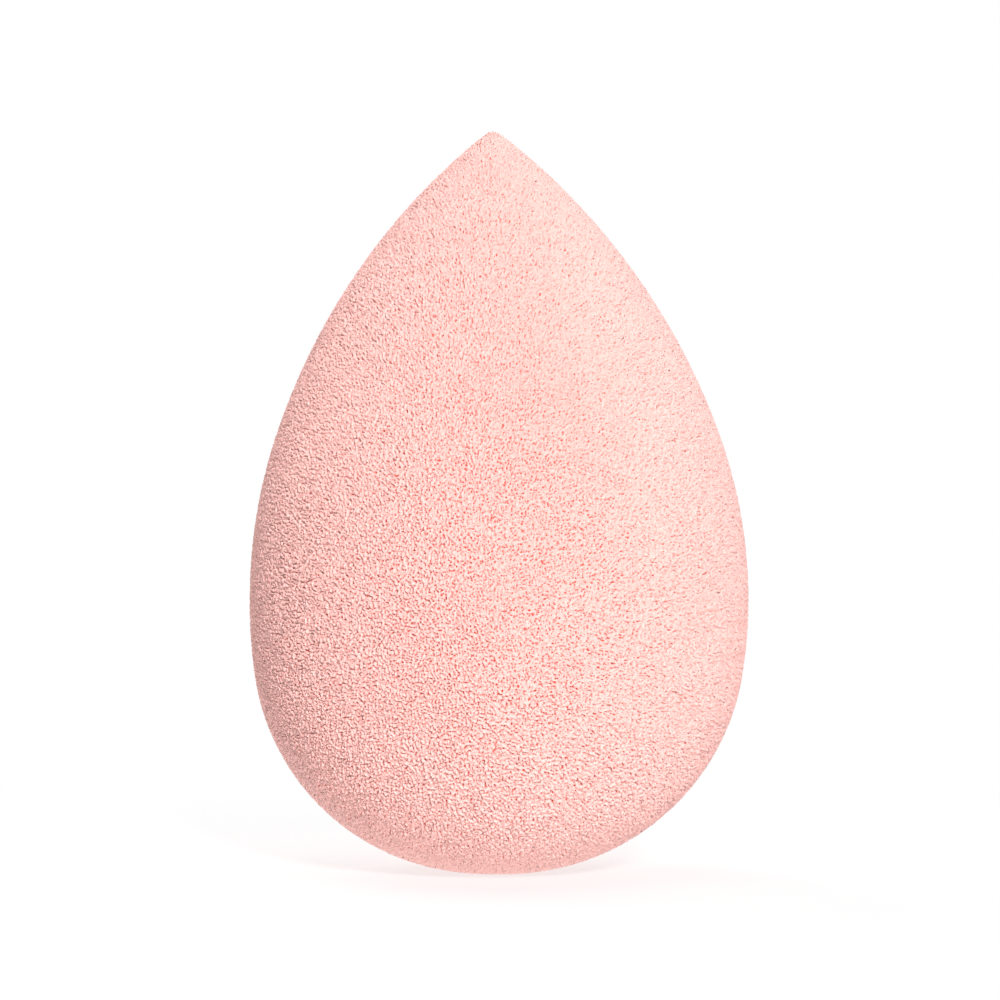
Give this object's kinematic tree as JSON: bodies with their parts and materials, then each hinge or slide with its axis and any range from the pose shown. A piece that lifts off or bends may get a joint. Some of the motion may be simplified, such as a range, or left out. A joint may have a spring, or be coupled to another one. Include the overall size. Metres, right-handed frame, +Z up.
{
  "type": "makeup sponge",
  "caption": "Teardrop makeup sponge of fine open-cell foam, with a round base for dabbing and blending and a pointed tip for small areas.",
  "frame": {"origin": "centre of the small flat on the round base that the sponge stands on", "axes": "+Z up the sponge's axis, from the round base to the pointed tip; X and Y are free, because the body is round about Z"},
  "size_m": [0.0404, 0.0404, 0.06],
  "materials": {
    "foam": "matt pale coral-pink open-cell polyurethane foam with a fine porous cut surface"
  },
  "bodies": {
    "root": {"foam_sponge": "foam"}
  },
  "joints": []
}
